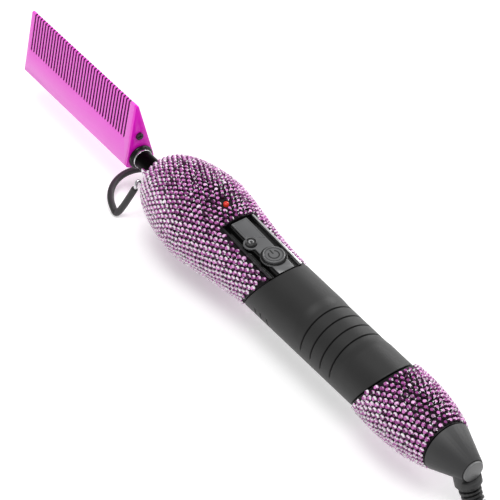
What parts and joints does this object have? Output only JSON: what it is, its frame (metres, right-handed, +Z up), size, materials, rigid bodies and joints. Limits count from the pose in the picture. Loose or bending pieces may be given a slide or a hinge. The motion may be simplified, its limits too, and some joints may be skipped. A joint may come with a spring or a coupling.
{
  "type": "electric hot comb",
  "caption": "Electric hot comb with a toothed plate on a thin neck, a crystal-covered handle with display and buttons, a folding wire rest and a swivel cord.",
  "frame": {"origin": "bottom centre of the box round the tool as it stands, cord left out", "axes": "+X along the handle axis from the comb to the cord, +Z up, the comb's teeth pointing up"},
  "size_m": [0.4878, 0.053, 0.0488],
  "materials": {
    "pink_plate": "anodised, satin",
    "magenta_cap": "anodised, satin",
    "steel": "bright nickel plated",
    "aluminium": "plain",
    "ceramic": "dry ceramic",
    "black_metal": "semi-gloss black",
    "black_rubber": "matte",
    "black_plastic": "satin",
    "gloss_black": "gloss",
    "grip": "soft-touch matte",
    "crystal": "faceted pink stones on a black carrier",
    "chrome": "polished",
    "plate_grey": "satin grey",
    "button_grey": "satin grey",
    "display_glass": "tinted window",
    "red_lens": "clear red",
    "board_green": "solder mask",
    "capacitor_blue": "sleeved",
    "lead_red": "silicone insulation",
    "lead_white": "silicone insulation",
    "brass": "plain",
    "tail_plastic": "satin",
    "disc_grey": "satin",
    "cord_black": "soft cord jacket",
    "plug_black": "moulded"
  },
  "bodies": {
    "handle": {"comb_plate": "pink_plate", "comb_end_cap": "magenta_cap", "comb_screw": "steel", "heater_element": "ceramic", "heater_spreader": "aluminium", "thermal_fuse": "ceramic", "thermistor": "lead_red", "insulating_bush": "black_plastic", "neck_ring": "steel", "neck_tube": "black_metal", "neck_collar": "steel", "stand_bracket": "steel", "housing_upper": "black_plastic", "housing_lower": "black_plastic", "housing_screws": "steel", "front_crystal_sleeve": "crystal", "grip_sleeve": "grip", "rear_crystal_sleeve": "crystal", "panel_bezel": "gloss_black", "panel_rails": "chrome", "face_plate": "plate_grey", "display_window": "display_glass", "display_module": "black_plastic", "power_ring": "plate_grey", "power_switch": "black_plastic", "mode_switch": "black_plastic", "light_pipe": "red_lens", "indicator_led": "red_lens", "circuit_board": "board_green", "board_screws": "steel", "triac": "black_plastic", "capacitor": "capacitor_blue", "heater_leads": "lead_red", "supply_leads": "lead_white", "contact_block": "black_plastic", "contact_springs": "brass", "swivel_washer": "black_plastic"},
    "rest": {"stand_wire": "steel", "stand_sleeve": "black_rubber"},
    "power_button": {"power_button": "button_grey"},
    "mode_button": {"mode_button": "button_grey"},
    "tail": {"swivel_spindle": "steel", "slip_rings": "brass", "retaining_ring": "steel", "tail_cone": "tail_plastic", "end_disc": "disc_grey", "strain_relief": "black_rubber", "cord": "cord_black", "cord_hank": "cord_black", "cord_end": "cord_black", "hank_tie": "black_plastic", "plug_body": "plug_black", "plug_blades": "brass"}
  },
  "joints": [
    {"name": "rest_fold", "type": "hinge", "parent": "handle", "child": "rest", "pos_m": [-0.06544, 0, 0.01576], "axis": [0, 1, 0], "range_deg": [-30, 20]},
    {"name": "power_press", "type": "slide", "parent": "handle", "child": "power_button", "axis": [-0.0663, 0, -0.9978], "range_m": [0, 0.0006], "stiffness_N_per_m": 2500, "springref_m": -0.0002},
    {"name": "mode_press", "type": "slide", "parent": "handle", "child": "mode_button", "axis": [-0.0663, 0, -0.9978], "range_m": [0, 0.0006], "stiffness_N_per_m": 2500, "springref_m": -0.0002},
    {"name": "tail_swivel", "type": "hinge", "parent": "handle", "child": "tail", "pos_m": [0.12706, 0, 0.02196], "axis": [1, 0, 0], "continuous": true}
  ]
}
